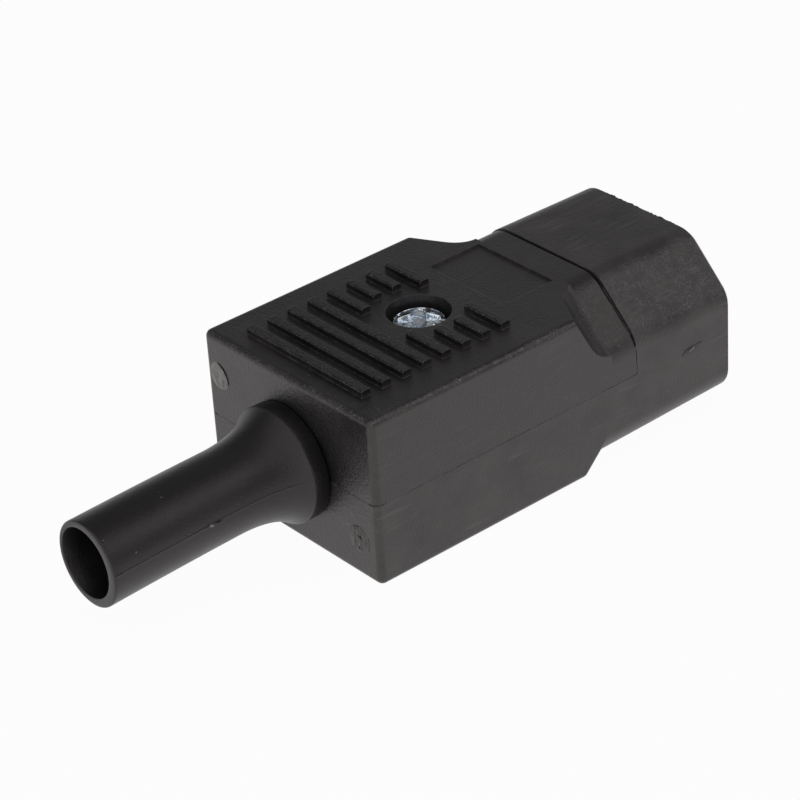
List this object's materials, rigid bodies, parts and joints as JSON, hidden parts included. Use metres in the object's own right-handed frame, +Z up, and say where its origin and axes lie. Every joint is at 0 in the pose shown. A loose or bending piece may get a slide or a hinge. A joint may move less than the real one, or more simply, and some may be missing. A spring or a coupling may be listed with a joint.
{
  "type": "cable connector",
  "caption": "Rewirable power cord connector: split black case with chamfered socket nose, ribbed screw-down cover, flared bend-relief boot, brass contacts and cord grip.",
  "frame": {"origin": "on the resting surface under the middle of the connector's length and width", "axes": "+X along the connector towards its mating nose, +Z up from the base to the ribbed cover"},
  "size_m": [0.068, 0.024, 0.0181],
  "materials": {
    "case_plastic": "fine grained",
    "boot_rubber": "satin",
    "grip_plastic": "matte",
    "zinc_steel": "bright zinc plate",
    "contact_brass": "stamped"
  },
  "bodies": {
    "case": {"lower_housing": "case_plastic", "cable_boot": "boot_rubber", "line_contact": "contact_brass", "neutral_contact": "contact_brass", "earth_contact": "contact_brass"},
    "cover": {"upper_cover": "case_plastic"},
    "cover_screw": {"cover_screw": "zinc_steel"},
    "cord_grip": {"cord_grip": "grip_plastic"},
    "grip_screw_left": {"cord_grip_screw_left": "zinc_steel"},
    "grip_screw_right": {"cord_grip_screw_right": "zinc_steel"},
    "line_clamp": {"line_washer": "zinc_steel"},
    "line_screw": {"line_screw": "zinc_steel"},
    "neutral_clamp": {"neutral_washer": "zinc_steel"},
    "neutral_screw": {"neutral_screw": "zinc_steel"},
    "earth_clamp": {"earth_washer": "zinc_steel"},
    "earth_screw": {"earth_screw": "zinc_steel"}
  },
  "joints": [
    {"name": "cover_lift", "type": "slide", "parent": "case", "child": "cover", "axis": [0, 0, 1], "range_m": [0, 0.03]},
    {"name": "cover_screw_turn", "type": "hinge", "parent": "cover", "child": "cover_screw", "pos_m": [0.0051, 0, 0.0086], "axis": [0, 0, 1], "continuous": true},
    {"name": "cord_grip_lift", "type": "slide", "parent": "case", "child": "cord_grip", "axis": [0, 0, 1], "range_m": [0, 0.0015]},
    {"name": "grip_screw_left_turn", "type": "hinge", "parent": "cord_grip", "child": "grip_screw_left", "pos_m": [-0.00395, 0.0069, 0.0086], "axis": [0, 0, 1], "range_deg": [0, 1080]},
    {"name": "grip_screw_right_turn", "type": "hinge", "parent": "cord_grip", "child": "grip_screw_right", "pos_m": [-0.00395, -0.0069, 0.0086], "axis": [0, 0, 1], "range_deg": [0, 1080]},
    {"name": "line_clamp_lift", "type": "slide", "parent": "case", "child": "line_clamp", "axis": [0, 0, 1], "range_m": [0, 0.002]},
    {"name": "line_screw_turn", "type": "hinge", "parent": "line_clamp", "child": "line_screw", "pos_m": [0.01685, 0.007, 0.0072], "axis": [0, 0, 1], "range_deg": [0, 1440]},
    {"name": "neutral_clamp_lift", "type": "slide", "parent": "case", "child": "neutral_clamp", "axis": [0, 0, 1], "range_m": [0, 0.002]},
    {"name": "neutral_screw_turn", "type": "hinge", "parent": "neutral_clamp", "child": "neutral_screw", "pos_m": [0.01685, -0.007, 0.0072], "axis": [0, 0, 1], "range_deg": [0, 1440]},
    {"name": "earth_clamp_lift", "type": "slide", "parent": "case", "child": "earth_clamp", "axis": [0, 0, 1], "range_m": [0, 0.002]},
    {"name": "earth_screw_turn", "type": "hinge", "parent": "earth_clamp", "child": "earth_screw", "pos_m": [0.01685, 0, 0.0112], "axis": [0, 0, 1], "range_deg": [0, 1440]}
  ],
  "couplings": [
    {"joint": "grip_screw_left_turn", "follows": "cord_grip_lift", "rad_per_m": 12566},
    {"joint": "grip_screw_right_turn", "follows": "cord_grip_lift", "rad_per_m": 12566},
    {"joint": "line_screw_turn", "follows": "line_clamp_lift", "rad_per_m": 12566},
    {"joint": "neutral_screw_turn", "follows": "neutral_clamp_lift", "rad_per_m": 12566},
    {"joint": "earth_screw_turn", "follows": "earth_clamp_lift", "rad_per_m": 12566}
  ]
}
